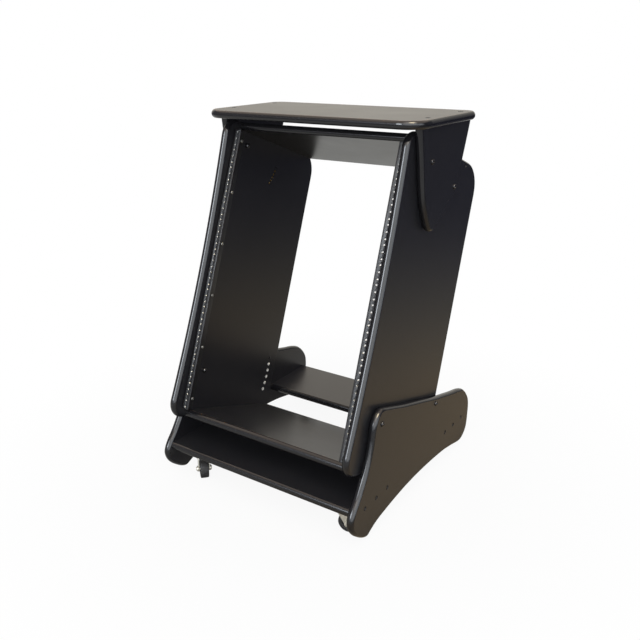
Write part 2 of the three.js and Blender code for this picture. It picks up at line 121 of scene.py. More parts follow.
def end_spans(board):
    """The four edges of a cross board's end as pairs of corners, in the plane of depth and height."""
    corners = rim(board, 0)
    return list(zip(corners, corners[1:] + corners[:1]))


def rack_lean():
    """How far the rack leans back at rest, from the long edge of its bottom panel."""
    edge = max((b - a for a, b in end_spans("bottom_panel")), key=lambda span: span.length)
    return abs(math.atan(edge.y / edge.x))


TILT_PIVOT = Vector(joint("rack_tilt")["pos_m"])
SHELF_PIVOT = Vector(joint("shelf_tilt")["pos_m"])
RACK = Matrix.Translation(TILT_PIVOT) @ Matrix.Rotation(-rack_lean(), 4, "X")


def extent(node_name):
    """The lowest and highest corners of a CAD node, square to the leaning rack."""
    back = RACK.inverted()
    points = [back @ v.co for v in frame["nodes"][node_name].data.vertices]
    low = Vector([min(p[i] for p in points) for i in range(3)])
    high = Vector([max(p[i] for p in points) for i in range(3)])
    return low, high


# Sizes and colours that a user would change


def length(label, description, millimetres):
    """A length with its default."""
    return FloatProperty(
        name=label, description=description, default=millimetres * MM, subtype="DISTANCE", unit="LENGTH")


def paint(label, description, *colour):
    """A colour with its default."""
    return FloatVectorProperty(
        name=label, description=description, default=colour + (1,), subtype="COLOR", size=4)


class RackSizes(bpy.types.PropertyGroup):
    """Sizes of the pieces that are dressed here."""

    nose_depth: length("Nose depth", "How far the edging stands out from a board", 5.5)
    edging_lip: length("Edging lip", "How far the edging laps the board's face", 0.6)
    lip_height: length("Lip height", "How far the lip of the edging stands off the face", 0.05)
    # The brown seam line is partly the board's core and partly a painted warm reflection along the edging.
    seam_and_sheen_width: length("Seam width", "Width of the brown line between laminate and edging", 1.0)
    screw_radius: length("Screw radius", "Radius of a countersunk screw head", 4.5)
    screw_depth: length("Screw depth", "How far a screw head lies below the board's face", 1.9)
    countersink: length("Countersink", "How far a screw's hole stands round its head at the face", 0.9)
    insert_radius: length("Insert radius", "Radius of the collar on a threaded insert", 4.8)
    insert_depth: length("Insert depth", "How far the upper inserts lie below the rack side's face", 2.4)
    rail_bend: length("Rail bend", "Outer radius of the bend in a rail", 3)


class RackFinishes(bpy.types.PropertyGroup):
    """Colours of the finishes."""

    laminate: paint("Laminate", "Colour of the boards", 0.0125, 0.0125, 0.0150)
    edging: paint("Edging", "Colour of the rounded edging", 0.0085, 0.0085, 0.0100)
    # Seam colour: partly the brown of the board's core, partly a painted warm reflection.
    seam: paint("Seam", "Colour of the board's core at the seam", 0.13, 0.055, 0.026)
    steel: paint("Black steel", "Colour of the coated rails", 0.012, 0.012, 0.0135)
    oxide: paint("Black oxide", "Colour of bolts and board screws", 0.080, 0.080, 0.085)
    zinc: paint("Zinc", "Colour of the castor metal", 0.72, 0.70, 0.62)
    thread: paint("Cut threads", "Colour of the threads and screws of the rails", 0.42, 0.42, 0.40)
    silver: paint("Silver", "Colour of the lower inserts", 0.88, 0.87, 0.83)
    brass: paint("Brass", "Colour of the upper inserts", 0.62, 0.43, 0.17)
    rubber: paint("Tyre", "Colour of the tyres", 0.018, 0.018, 0.019)
    hub: paint("Hub", "Colour of the wheel hubs", 0.035, 0.035, 0.037)


# Modelling steps


def clear_selection():
    """Leave edit mode and deselect every object."""
    active = bpy.context.view_layer.objects.active
    if active is not None and active.mode != "OBJECT":
        bpy.ops.object.mode_set(mode="OBJECT")
    bpy.ops.object.select_all(action="DESELECT")


def take(obj):
    """Make one object the only one selected."""
    clear_selection()
    bpy.context.view_layer.objects.active = obj
    obj.select_set(True)
    return obj


def fresh(name):
    """Name the object that was just added."""
    obj = bpy.context.view_layer.objects.active
    obj.name = name
    obj.data.name = name
    return obj


def close_up(obj, fill=True):
    """Merge doubled points, fill open ends and turn the faces outwards."""
    take(obj)
    bpy.ops.object.mode_set(mode="EDIT")
    bpy.ops.mesh.select_all(action="SELECT")
    bpy.ops.mesh.remove_doubles(threshold=1e-6)
    bpy.ops.mesh.dissolve_degenerate(threshold=1e-7)
    if fill:
        bpy.ops.mesh.select_all(action="SELECT")
        bpy.ops.mesh.fill_holes(sides=0)
    bpy.ops.mesh.select_all(action="SELECT")
    bpy.ops.mesh.normals_make_consistent(inside=False)
    bpy.ops.object.mode_set(mode="OBJECT")
    return obj


def loft(name, rings, looped=False):
    """A closed skin through rings of points. A looped one joins its last ring to its first."""
    clear_selection()
    columns, rows = len(rings[0]), len(rings) - 1 + looped
    bpy.ops.mesh.primitive_grid_add(x_subdivisions=columns, y_subdivisions=rows)
    obj = fresh(name)
    flat = []
    for j in range(rows + 1):
        ring = rings[j % len(rings)]
        for i in range(columns + 1):
            flat.extend(ring[i % columns])
    if len(flat) != 3 * len(obj.data.vertices):
        raise RuntimeError(f"{name}: the grid doesn't match its rings")
    obj.data.vertices.foreach_set("co", flat)
    obj.data.update()
    return close_up(obj, fill=not looped)


def turned(name, profile, steps):
    """A solid turned about z from a closed outline of (radius, height) points in millimetres."""
    clear_selection()
    bpy.ops.mesh.primitive_circle_add(vertices=len(profile), fill_type="NOTHING")
    obj = fresh(name)
    for index, (radius, height) in zip(loop_order(obj.data), profile):
        obj.data.vertices[index].co = (radius * MM, 0, height * MM)
    obj.data.update()
    take(obj)
    bpy.ops.object.mode_set(mode="EDIT")
    bpy.ops.mesh.select_all(action="SELECT")
    bpy.ops.mesh.spin(steps=steps, angle=2 * math.pi, center=(0, 0, 0), axis=(0, 0, 1))
    bpy.ops.object.mode_set(mode="OBJECT")
    return close_up(obj, fill=False)


def loop_order(mesh):
    """The points of a single ring of edges, in order round it."""
    near = {}
    for edge in mesh.edges:
        a, b = edge.vertices
        near.setdefault(a, []).append(b)
        near.setdefault(b, []).append(a)
    order = [0, near[0][0]]
    while len(order) < len(mesh.vertices):
        order.append(next(i for i in near[order[-1]] if i != order[-2]))
    return order


def block(name, size, location=(0, 0, 0), rotation=(0, 0, 0)):
    """A box whose size and place, both in millimetres, are in its mesh."""
    bpy.ops.mesh.primitive_cube_add(size=1, location=Vector(location) * MM, rotation=rotation)
    obj = fresh(name)
    obj.scale = Vector(size) * MM
    take(obj)
    bpy.ops.object.transform_apply(location=True, rotation=True, scale=True)
    return obj


def smooth(obj, degrees=35):
    """Shade a piece smooth, with crisp edges where it turns sharply."""
    take(obj)
    bpy.ops.object.shade_smooth_by_angle(angle=math.radians(degrees))
    return obj


def modified(obj, kind, **settings):
    """A piece with one modifier applied."""
    take(obj)
    modifier = obj.modifiers.new(kind.title(), kind)
    for key, value in settings.items():
        setattr(modifier, key, value)
    bpy.ops.object.modifier_apply(modifier=modifier.name)
    return obj


def soften(obj, width, segments=2, degrees=40):
    """Round the sharp edges of a piece, to a width in millimetres."""
    return modified(
        obj, "BEVEL", width=width * MM, segments=segments, limit_method="ANGLE",
        angle_limit=math.radians(degrees))


def cut(obj, cutter):
    """Cut one closed piece out of another and remove the cutter."""
    modified(obj, "BOOLEAN", operation="DIFFERENCE", solver="EXACT", object=cutter)
    discard(cutter)
    return obj


def set_down(obj, place):
    """Put a piece's place in its mesh."""
    obj.data.transform(place)
    obj.data.update()
    return obj


def duplicate(obj, name, place):
    """A copy of a piece with its own mesh, at its place."""
    copy = obj.copy()
    copy.data = obj.data.copy()
    copy.name = copy.data.name = name
    bpy.context.scene.collection.objects.link(copy)
    return set_down(copy, place)


def discard(obj):
    """Remove a pattern piece once its copies are made."""
    bpy.data.objects.remove(obj, do_unlink=True)


def joined(name, pieces):
    """Several pieces as one object."""
    clear_selection()
    for piece in pieces:
        piece.select_set(True)
    bpy.context.view_layer.objects.active = pieces[0]
    bpy.ops.object.join()
    return fresh(name)


def dress(obj, body, slot, finish_name, *nodes):
    """Give a piece its body and finish, and hide the CAD nodes that it stands for. The slot is not used."""
    obj.data.materials.clear()
    obj.data.materials.append(finish_of(finish_name))
    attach(obj, body)
    if nodes:
        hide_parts(*nodes)
    return obj


def along_x(sign, x, y, z):
    """A place whose z axis points outwards along x on one side."""
    return Matrix.Translation((sign * x, y, z)) @ Matrix.Rotation(sign * QUARTER, 4, "Y")


# Lines that the edging and other outlines follow


def arc(middle, radii, start, end, steps):
    """The points of an arc, round or oval, from one angle to another in degrees."""
    angles = [math.radians(start + (end - start) * k / steps) for k in range(steps + 1)]
    return [(middle[0] + radii[0] * math.cos(a), middle[1] + radii[1] * math.sin(a)) for a in angles]


def guarded(points, closed):
    """An outline with extra points near the ends of its long straight runs, which keep those straight."""
    long_run, guard = 100 * MM, 5 * MM
    out = []
    count = len(points)
    for i, here in enumerate(points):
        out.append(here)
        if i == count - 1 and not closed:
            break
        after = points[(i + 1) % count]
        span = after - here
        if span.length > long_run:
            out.append(here + span.normalized() * guard)
            out.append(after - span.normalized() * guard)
    return out


def smoothed(points, closed, steps):
    """A smooth line through an outline's points."""
    points = guarded(points, closed)
    count = len(points)
    out = []
    for i in range(count if closed else count - 1):
        p1, p2 = points[i], points[(i + 1) % count]
        p0 = points[i - 1] if closed or i > 0 else 2 * p1 - p2
        p3 = points[(i + 2) % count] if closed or i + 2 < count else 2 * p2 - p1
        t1 = (p1 - p0).length ** 0.5
        t2 = t1 + (p2 - p1).length ** 0.5
        t3 = t2 + (p3 - p2).length ** 0.5
        for k in range(steps):
            t = t1 + (t2 - t1) * k / steps
            a1 = p0.lerp(p1, t / t1)
            a2 = p1.lerp(p2, k / steps)
            a3 = p2.lerp(p3, (t - t2) / (t3 - t2))
            b1 = a1.lerp(a2, t / t2)
            b2 = a2.lerp(a3, (t - t1) / (t3 - t1))
            out.append(b1.lerp(b2, k / steps))
    if not closed:
        out.append(points[-1])
    return out


def outward(path, closed):
    """The outward direction at each point of an anticlockwise line."""
    count = len(path)
    out = []
    for i in range(count):
        before = path[i - 1] if closed or i > 0 else path[i]
        after = path[(i + 1) % count] if closed or i < count - 1 else path[i]
        span = after - before
        out.append(Vector((span.y, -span.x)).normalized())
    if not closed:
        out[0] = Vector((1 / out[0].x, 0))
        out[-1] = Vector((1 / out[-1].x, 0))
    return out


def nose_section(sizes, half, steps=14):
    """The edging's section as (out from the board, across its thickness) points: an arc between two lips."""
    depth, lip, proud = sizes.nose_depth, sizes.edging_lip, half + sizes.lip_height
    reach = 2 * math.atan(depth / half)
    section = [(-lip, -proud)]
    for k in range(steps + 1):
        angle = reach * (2 * k / steps - 1)
        out = depth * (math.cos(angle) - math.cos(reach)) / (1 - math.cos(reach))
        section.append((out, proud * math.sin(angle) / math.sin(reach)))
    section.append((-lip, proud))
    return section


def swept(name, path, closed, section, axis, level):
    """A section carried along a flat line, its own thickness across the plane."""
    rings = []
    for place, direction in zip(path, outward(path, closed)):
        ring = []
        for out, across in section:
            flat = place + direction * out
            ring.append((level + across, flat.x, flat.y) if axis == 0 else (flat.x, flat.y, level + across))
        rings.append(ring)
    return smooth(loft(name, rings, looped=closed), 50)


def strip(name, board, start, out, across, section):
    """A section carried straight along the whole width of a cross board."""
    places = [start + out * far + across * near for far, near in section]
    return loft(name, [[(corner.x, place.x, place.y) for place in places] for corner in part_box(board)])


# Finishes


def node(tree, kind, inputs=None, **settings):
    """A shader node with its settings, and with links or values on its inputs."""
    made = tree.nodes.new(kind)
    for key, value in settings.items():
        setattr(made, key, value)
    for name, value in (inputs or {}).items():
        if isinstance(value, bpy.types.NodeSocket):
            tree.links.new(value, made.inputs[name])
        else:
            made.inputs[name].default_value = value
    return made


def maths(tree, operation, first, second=0.0, clamp=False):
    """The value of a Math node."""
    inputs = {0: first, 1: second}
    return node(tree, "ShaderNodeMath", inputs, operation=operation, use_clamp=clamp).outputs[0]


def times(tree, first, *others, clamp=False):
    """The product of several values."""
    for other in others:
        first = maths(tree, "MULTIPLY", first, other, clamp=clamp)
    return first


def vectors(tree, operation, inputs):
    """A Vector Math node."""
    return node(tree, "ShaderNodeVectorMath", inputs, operation=operation)


def blended(tree, factor, first, second):
    """A mix of two colours, which a Mix node takes on sockets 6 and 7 and gives on socket 2."""
    return node(tree, "ShaderNodeMix", {0: factor, 6: first, 7: second}, data_type="RGBA").outputs[2]


def spread(tree, value, low, high, start=0.0, end=1.0):
    """A value carried from one range into another, held at its ends."""
    inputs = {"Value": value, "From Min": low, "From Max": high, "To Min": start, "To Max": end}
    return node(tree, "ShaderNodeMapRange", inputs).outputs[0]


def noise(tree, vector, scale, detail, **others):
    """The value of a noise texture."""
    inputs = {"Vector": vector, "Scale": scale, "Detail": detail, **others}
    return node(tree, "ShaderNodeTexNoise", inputs).outputs[0]


def ramp(tree, value, stops):
    """A colour ramp from (position, colour) stops."""
    made = node(tree, "ShaderNodeValToRGB", {0: value})
    steps = made.color_ramp.elements
    for step, (position, colour) in ((steps[0], stops[0]), (steps[1], stops[-1])):
        step.position, step.color = position, colour + (1,)
    for position, colour in stops[1:-1]:
        steps.new(position).color = colour + (1,)
    return made.outputs[0]


def group(name, **inputs):
    """A node group with named inputs, and their sockets. A vector has no default."""
    tree = bpy.data.node_groups.new(name, "ShaderNodeTree")
    for label, default in inputs.items():
        kind = "Color" if isinstance(default, tuple) else "Vector" if default is None else "Float"
        socket = tree.interface.new_socket(name=label, in_out="INPUT", socket_type=f"NodeSocket{kind}")
        if default is not None:
            socket.default_value = default
    return tree, node(tree, "NodeGroupInput").outputs


def give(tree, **results):
    """Give a node group its named outputs."""
    for label, result in results.items():
        kind = "Color" if result.type == "RGBA" else "Float"
        tree.interface.new_socket(name=label, in_out="OUTPUT", socket_type=f"NodeSocket{kind}")
    node(tree, "NodeGroupOutput", results)
    return tree


def pebbled_skin():
    """The fine pebbled skin of laminate, coated steel and moulded plastic."""
    tree, given = group("Pebbled skin", Vector=None, Grain=0.6 * MM)
    scale = maths(tree, "DIVIDE", 1.0, given["Grain"])
    inputs = {"Vector": given["Vector"], "Scale": scale, "Smoothness": 0.7}
    cells = node(tree, "ShaderNodeTexVoronoi", inputs, feature="SMOOTH_F1")
    fine = noise(tree, given["Vector"], scale, 3)
    return give(tree, Height=maths(tree, "ADD", cells.outputs["Distance"], fine))


def handling_marks():
    """Broad patches where hands and cloths have polished or dulled a surface."""
    tree, given = group("Handling marks", Vector=None, Dull=0.4, Polished=0.3, Size=0.12)
    scale = maths(tree, "DIVIDE", 1.0, given["Size"])
    patches = noise(tree, given["Vector"], scale, 5, Roughness=0.62, Distortion=0.4)
    roughness = spread(tree, patches, 0.32, 0.68, given["Polished"], given["Dull"])
    return give(tree, Roughness=roughness, Patches=patches)


def settled_dust():
    """Specks of pale dust that lie on faces which look upwards."""
    tree, given = group(
        "Settled dust", Vector=None, Colour=(0.01, 0.01, 0.01, 1), Dust=(0.20, 0.19, 0.17, 1), Amount=0.1)
    specks = spread(tree, noise(tree, given["Vector"], 420, 2), 0.62, 0.78)
    film = times(tree, noise(tree, given["Vector"], 9, 4), 0.5)
    facing = node(tree, "ShaderNodeNewGeometry").outputs["Normal"]
    rise = node(tree, "ShaderNodeSeparateXYZ", {0: facing}).outputs["Z"]
    upward = maths(tree, "POWER", maths(tree, "MAXIMUM", rise, 0.0), 4.0)
    lying = times(tree, maths(tree, "ADD", specks, film), upward)
    mask = times(tree, lying, given["Amount"], clamp=True)
    return give(tree, Colour=blended(tree, mask, given["Colour"], given["Dust"]), Mask=mask)


def edge_wear():
    """Thin bright wear where a sharp edge is rubbed."""
    tree, given = group(
        "Edge wear", Vector=None, Colour=(0.01, 0.01, 0.01, 1), Worn=(0.1, 0.1, 0.1, 1), Width=0.8 * MM,
        Amount=0.3)
    bevel = node(tree, "ShaderNodeBevel", {"Radius": given["Width"]}, samples=4)
    true = node(tree, "ShaderNodeNewGeometry").outputs["Normal"]
    turn = vectors(tree, "DOT_PRODUCT", {0: bevel.outputs[0], 1: true}).outputs["Value"]
    edge = spread(tree, turn, 0.995, 0.80)
    gaps = spread(tree, noise(tree, given["Vector"], 60, 6), 0.48, 0.62)
    mask = times(tree, edge, gaps, given["Amount"], clamp=True)
    return give(tree, Colour=blended(tree, mask, given["Colour"], given["Worn"]))


GROUPS = {}


def placed(tree, maker, **inputs):
    """The outputs of a shared group, built once, placed with its own values."""
    if maker not in GROUPS:
        GROUPS[maker] = maker()
    return node(tree, "ShaderNodeGroup", inputs, node_tree=GROUPS[maker]).outputs


def finish(name, colour, polished, dull, metallic=0.0, grain=0.6, bump=0.04, worn=None, wear=0.0,
           dust=0.0, patch=0.12):
    """A finish with pebbled skin, handling marks, settled dust and worn edges."""
    material = bpy.data.materials.new(name)
    material.use_nodes = True
    tree = material.node_tree
    vector = node(tree, "ShaderNodeTexCoord").outputs["Object"]
    handling = placed(tree, handling_marks, Vector=vector, Dull=dull, Polished=polished, Size=patch)
    skin = placed(tree, pebbled_skin, Vector=vector, Grain=grain * MM)
    darker = tuple(0.90 * c for c in colour[:3]) + (1,)
    paler = tuple(min(1.0, 1.08 * c) for c in colour[:3]) + (1,)
    shade = blended(tree, handling["Patches"], darker, paler)
    roughness = handling["Roughness"]
    if wear:
        shade = placed(tree, edge_wear, Vector=vector, Colour=shade, Worn=worn, Amount=wear)["Colour"]
    if dust:
        settled = placed(tree, settled_dust, Vector=vector, Colour=shade, Amount=dust)
        shade = settled["Colour"]
        roughness = maths(tree, "ADD", roughness, settled["Mask"], clamp=True)
    relief = node(tree, "ShaderNodeBump", {"Strength": bump, "Distance": 0.1 * MM, "Height": skin["Height"]})
    shader = tree.nodes["Principled BSDF"]
    for socket, value in (("Normal", relief.outputs[0]), ("Base Color", shade), ("Roughness", roughness)):
        tree.links.new(value, shader.inputs[socket])
    shader.inputs["Metallic"].default_value = metallic
    return material


FINISHES = {
    "laminate": dict(polished=0.29, dull=0.33, grain=0.9, bump=0.10, dust=0.05, patch=0.2),
    "edging": dict(polished=0.12, dull=0.17, grain=2.5, bump=0.02, dust=0.03, patch=0.3),
    # The seam finish is partly the board's core and partly a painted warm reflection.
    "seam": dict(polished=0.5, dull=0.7, grain=0.8, bump=0.3),
    "steel": dict(polished=0.34, dull=0.5, grain=0.5, bump=0.25, worn=(0.22, 0.22, 0.21, 1), wear=0.35,
                  dust=0.1),
    "oxide": dict(polished=0.26, dull=0.38, metallic=1.0, grain=0.5, bump=0.08, worn=(0.3, 0.3, 0.29, 1),
                  wear=0.3, patch=0.01),
    "zinc": dict(polished=0.25, dull=0.42, metallic=0.6, grain=1.2, bump=0.12, worn=(0.8, 0.8, 0.78, 1),
                 wear=0.4, patch=0.02),
    "thread": dict(polished=0.26, dull=0.42, metallic=1.0, grain=0.4, bump=0.2, patch=0.004),
    "silver": dict(polished=0.35, dull=0.5, metallic=0.45, grain=0.5, bump=0.1, patch=0.01),
    "brass": dict(polished=0.22, dull=0.4, metallic=1.0, grain=0.5, bump=0.15, patch=0.01),
    "rubber": dict(polished=0.5, dull=0.75, grain=0.7, bump=0.4, dust=0.3, patch=0.015),
    "hub": dict(polished=0.36, dull=0.5, grain=0.6, bump=0.3, worn=(0.09, 0.09, 0.09, 1), wear=0.3,
                dust=0.15, patch=0.015),
}
MATERIALS = {}


def finish_of(name):
    """One of the rack's finishes, made when it is first asked for."""
    if name not in MATERIALS:
        colour = getattr(bpy.context.scene.rack_finishes, name)
        MATERIALS[name] = finish(f"Rack {name}", colour, **FINISHES[name])
    return MATERIALS[name]


# Boards, edging and seams, the seams partly a painted warm reflection


SHELF_SCREW_X = 272.3 * MM
SHELF_SCREW_Y = (2.7 * MM, 174.3 * MM)
BOARD_SCREW_STEP = 50 * MM
PANEL_SCREW_STEP = 105 * MM
THICKEST_BOARD = 25 * MM


def screw_places():
    """Where each board's screws stand, as places whose z axis points out of its face."""
    places = {board: [] for boards in BOARDS.values() for board in boards}
    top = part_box("shelf_board")[1].z
    for name, sign in SIDES:
        for y in SHELF_SCREW_Y:
            places["shelf_board"].append(Matrix.Translation((sign * SHELF_SCREW_X, y, top)))
        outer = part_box("foot_right")[1].x
        for board in ("front_board", "rear_board"):
            middle = centre(board)
            for step in (-BOARD_SCREW_STEP, 0, BOARD_SCREW_STEP):
                places[f"foot_{name}"].append(along_x(sign, outer, middle.y + step, middle.z))
        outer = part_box("side_right")[1].x
        for panel in ("top_panel", "bottom_panel"):
            low, high = extent(panel)
            middle = (low + high) / 2
            for step in (-PANEL_SCREW_STEP, 0, PANEL_SCREW_STEP):
                place = RACK @ Vector((0, middle.y + step, middle.z))
                places[f"side_{name}"].append(along_x(sign, outer, place.y, place.z))
    return places


class RACK_OT_boards(bpy.types.Operator):
    """Finish the laminated boards and sink the holes for their screws"""

    bl_idname = "rack.boards"
    bl_label = "Laminated boards"

    def execute(self, context):
        places = screw_places()
        for body, boards in BOARDS.items():
            for board in boards:
                if places[board]:
                    self.drill(context.scene.rack_sizes, body, board, places[board])
                else:
                    mesh = frame["nodes"][board].data
                    mesh.materials.clear()
                    mesh.materials.append(finish_of("laminate"))
        return {"FINISHED"}

    def drill(self, sizes, body, board, places):
        """A copy of a board with countersunk holes."""
        clear_selection()
        copy = duplicate(frame["nodes"][board], f"{board}_drilled", Matrix())
        close_up(copy, fill=False)
        bpy.ops.mesh.customdata_custom_splitnormals_clear()
        radius, deep = sizes.screw_radius / MM, sizes.screw_depth / MM
        wide = radius + sizes.countersink / MM * (2 if board == "shelf_board" else 1)
        drill = turned("drill", [
            (0, -deep - 4.5), (2.4, -deep - 4.5), (radius + 0.2, -deep - 0.4), (wide - 0.1, -deep + 0.2),
            (wide, 0), (wide + 0.3, 0.5), (0, 0.5)], 28)
        drills = [duplicate(drill, "drill_copy", place) for place in places]
        discard(drill)
        cut(copy, joined("drills", drills))
        bpy.ops.object.shade_flat()
        dress(copy, body, "laminate", "laminate", board)


def edged_boards(cross):
    """The boards that run across the rack, or else the others, each with its body."""
    pairs = [(body, board) for body, boards in BOARDS.items() for board in boards]
    return [pair for pair in pairs if (pair[1] in CROSS_BOARDS) == cross]


def edge_line(board):
    """The line that a board's edging follows, whether it closes, its axis, level and half thickness."""
    axis = 2 if board == "shelf_board" else 0
    low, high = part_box(board)
    points = rim(board, axis)
    closed = not board.startswith("wing")
    if not closed:
        top = max(p.y for p in points)
        upper = [i for i, p in enumerate(points) if abs(p.y - top) < SAME_PLACE]
        front = min(upper, key=lambda i: points[i].x)
        rear = max(upper, key=lambda i: points[i].x)
        points = (points[front:] + points[:front])[:(rear - front) % len(points) + 1]
    return smoothed(points, closed, 3), closed, axis, (low[axis] + high[axis]) / 2, (high - low)[axis] / 2


class RACK_OT_edging(bpy.types.Operator):
    """Run rounded edging round the feet, the rack sides, the shelf and the wings"""

    bl_idname = "rack.edging"
    bl_label = "Rounded edging"

    def execute(self, context):
        for body, board in edged_boards(cross=False):
            path, closed, axis, level, half = edge_line(board)
            section = nose_section(context.scene.rack_sizes, half)
            piece = swept(f"{board}_nosing", path, closed, section, axis, level)
            dress(piece, body, "edging", "edging", f"{board}_edging")
        return {"FINISHED"}


def short_edges(board):
    """The front and rear edges of a cross board's end as pairs of corners."""
    spans = [(a, b) for a, b in end_spans(board) if (b - a).length < THICKEST_BOARD]
    return sorted(spans, key=lambda span: span[0].x + span[1].x)


def directions(a, b):
    """The directions along an edge and out from it."""
    along = (b - a).normalized()
    return along, Vector((along.y, -along.x))


class RACK_OT_nosings(bpy.types.Operator):
    """Close the front and rear of the cross boards and panels with rounded strips"""

    bl_idname = "rack.nosings"
    bl_label = "Straight nosings"

    def execute(self, context):
        for body, board in edged_boards(cross=True):
            for end, (a, b) in zip(("front", "rear"), short_edges(board)):
                along, out = directions(a, b)
                section = nose_section(context.scene.rack_sizes, (b - a).length / 2)
                piece = strip(f"{board}_{end}_nosing", board, (a + b) / 2, out, along, section)
                dress(smooth(piece, 50), body, "edging", "edging", f"{board}_{end}_edging")
        return {"FINISHED"}


class RACK_OT_seams_and_sheen(bpy.types.Operator):
    """Show the brown line of the board's core between laminate and edging, a strip that also paints the warm
    reflection along the edging's top
    """

    bl_idname = "rack.seams"
    bl_label = "Board seams"

    def execute(self, context):
        sizes = context.scene.rack_sizes
        outer, deep, rise = -sizes.edging_lip, -0.2 * MM, sizes.lip_height
        inner = outer - sizes.seam_and_sheen_width
        section = [(inner, deep), (outer, deep), (outer, rise), (inner, rise)]
        path, closed, axis, level, half = edge_line("shelf_board")
        raised = [(far, half + near) for far, near in section]
        seam = swept("shelf_board_seam", path, closed, raised, axis, level)
        dress(seam, "shelf", "laminate", "seam")
        a, b = short_edges("bottom_panel")[0]
        along, out = directions(a, b)
        if b.y > a.y:
            a, along = b, -along
        seam = strip("bottom_panel_seam", "bottom_panel", a, out, -along, section)
        dress(seam, "rack", "laminate", "seam")
        return {"FINISHED"}


# Rails


RAIL_THICK = 2 * MM
HOLE_INSET = 10.15 * MM
HOLE_RADIUS = 2.3


class RACK_OT_rails(bpy.types.Operator):
    """Bend the two steel rails and tap their holes"""

    bl_idname = "rack.rails"
    bl_label = "Mounting rails"

    def execute(self, context):
        for name, sign in SIDES:
            low, high = extent(f"rail_{name}")
            inner, outer = sorted((abs(low.x), abs(high.x)))
            section = self.section(sign, outer, inner, low.y, high.y, context.scene.rack_sizes.rail_bend)
            rail = loft(f"steel_rail_{name}", [[(x, y, z) for x, y in section] for z in (low.z, high.z)])
            holes = [
                (sign * (outer - HOLE_INSET), low.y + RAIL_THICK / 2, height)
                for height in self.heights(low.z)
            ]
            self.tap(rail, holes)
            set_down(soften(rail, 0.25, 2, 50), RACK)
            smooth(rail, 30)
            dress(rail, "rack", "rail", "steel", f"rail_{name}")
            threads = set_down(self.threads(f"rail_threads_{name}", holes), RACK)
            dress(threads, "rack", "zinc", "thread")
        return {"FINISHED"}

    def section(self, sign, outer, inner, front, rear, bend):
        """An angle section, anticlockwise for the right side, with a rounded bend."""
        middle, inside = (outer - bend, front + bend), bend - RAIL_THICK
        points = [
            (inner, front), *arc(middle, (bend, bend), -90, 0, 6), (outer, rear), (outer - RAIL_THICK, rear),
            *arc(middle, (inside, inside), 0, -90, 4), (inner, front + RAIL_THICK)]
        return [(sign * x, y) for x, y in points]

    def heights(self, bottom):
        """Where the holes stand, three to a unit."""
        unit, first, pitch = 44.45 * MM, 6.35 * MM, 15.875 * MM
        return [bottom + u * unit + first + row * pitch for u in range(16) for row in range(3)]

    def tap(self, rail, holes):
        """Cut the column of holes with one set of round cutters."""
        clear_selection()
        cutters = []
        for hole in holes:
            bpy.ops.mesh.primitive_cylinder_add(
                vertices=16, radius=HOLE_RADIUS * MM, depth=8 * MM, location=hole, rotation=(QUARTER, 0, 0))
            cutters.append(fresh("cutter"))
        cut(rail, joined("cutters", cutters))

    def threads(self, name, holes):
        """Bright cut threads inside the holes, all as one piece."""
        ring = smooth(turned("thread", [
            (HOLE_RADIUS, -0.9), (2.0, -0.8), (1.8, -0.6), (2.05, -0.35), (1.8, -0.1), (2.05, 0.15),
            (1.8, 0.4), (2.0, 0.7), (HOLE_RADIUS, 0.8)], 12), 60)
        turn = Matrix.Rotation(QUARTER, 4, "X")
        copies = [duplicate(ring, "thread_copy", Matrix.Translation(hole) @ turn) for hole in holes]
        discard(ring)
        return joined(name, copies)


# Bolts, nuts, inserts and screws


def dome_outline(radius, height):
    """A low dome over a short rim, from the rim inwards, as (radius, height) points."""
    rim_height = 0.28 * height
    return arc((0, rim_height), (radius, height - rim_height), 0, 90, 7)


class RACK_OT_bolts(bpy.types.Operator):
    """Set the capped bolts and nuts that the rack and the shelf turn and lock on"""

    bl_idname = "rack.bolts"
    bl_label = "Capped bolts"

    def execute(self, context):
        for body, word in (("base", "tilt"), ("shelf", "shelf")):
            for name, sign in SIDES:
                self.bolt(body, f"{word}_pivot_bolt_{name}", sign)
                self.bolt(body, f"{word}_lock_bolt_{name}", sign)
                self.nut(body, f"{word}_pivot_nut_{name}", sign)
        return {"FINISHED"}

    def measures(self, cad):
        """A CAD bolt's or nut's radius and length in millimetres, and how far out it reaches in metres."""
        low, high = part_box(cad)
        return (high.y - low.y) / 2 / MM, (high.x - low.x) / MM, max(abs(low.x), abs(high.x))

    def fit(self, piece, body, cad, way, face):
        """Put a bolt or nut in the place of its CAD node, pointing the way of the sign."""
        middle = centre(cad)
        set_down(piece, along_x(way, face, middle.y, middle.z))
        dress(smooth(piece, 40), body, "bolt", "oxide", cad)

    def bolt(self, body, cad, sign):
        """A domed cap with a thin rim over its shank."""
        radius, length, outer = self.measures(cad)
        cap, shank = 3.5, 4
        end = cap - length
        piece = turned(f"{cad}_capped", [
            (0, end), (shank - 0.5, end), (shank, end + 0.6), (shank, 0), (radius - 0.3, 0), (radius, 0.3),
            *dome_outline(radius, cap)], 40)
        bpy.ops.mesh.primitive_cylinder_add(
            vertices=6, radius=2.9 * MM, depth=4 * MM, location=(0, 0, cap * MM))
        cut(piece, fresh("socket"))
        soften(piece, 0.12, 1, 50)
        self.fit(piece, body, cad, sign, outer - cap * MM)

    def nut(self, body, cad, sign):
        """A domed nut cap inside the bay."""
        radius, length, outer = self.measures(cad)
        bore, deep = 4.3, 5.3
        piece = turned(f"{cad}_domed", [
            (0, deep), (bore, deep), (bore, 0), (radius - 0.3, 0), (radius, 0.3), (radius, 2),
            *dome_outline(radius, length)], 40)
        self.fit(piece, body, cad, -sign, -outer)


